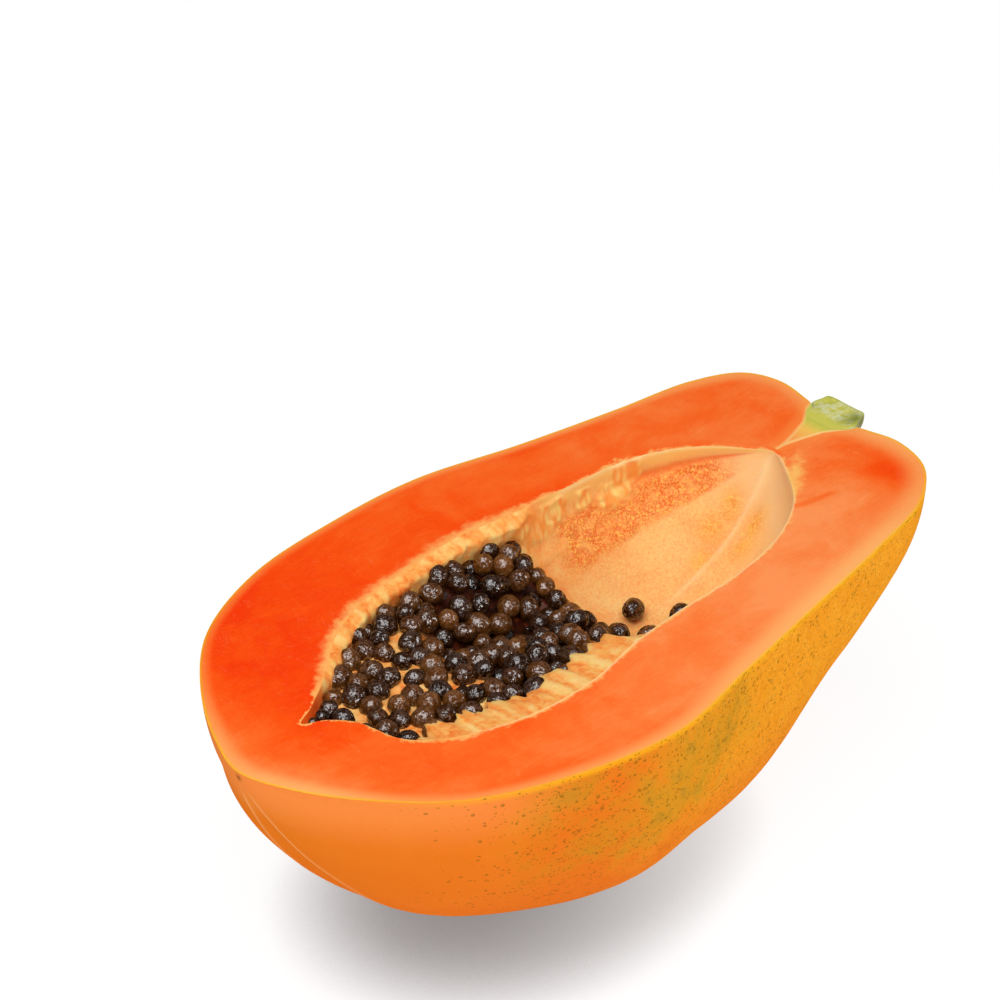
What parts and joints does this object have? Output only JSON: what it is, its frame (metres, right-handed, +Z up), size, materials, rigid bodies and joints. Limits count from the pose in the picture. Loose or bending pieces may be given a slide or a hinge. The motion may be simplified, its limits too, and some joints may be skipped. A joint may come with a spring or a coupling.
{
  "type": "papaya half",
  "caption": "Ripe papaya cut in half lengthwise, lying on its rind with the seed cavity open upwards and a heap of seeds in its blossom end.",
  "frame": {"origin": "on the surface it rests on, under the middle of its outline", "axes": "+X along the fruit from the blossom tip towards the stem, +Y across the cut face, +Z up out of the cut face"},
  "size_m": [0.2144, 0.1278, 0.0798],
  "materials": {
    "flesh_and_rind": "moist satin flesh, waxy rind",
    "stem": "dry, freshly cut",
    "seeds": "wet gloss"
  },
  "bodies": {
    "root": {"fruit": "flesh_and_rind", "stem": "stem", "seeds": "seeds", "loose_seed_1": "seeds", "loose_seed_2": "seeds", "loose_seed_3": "seeds", "loose_seed_4": "seeds"}
  },
  "joints": []
}
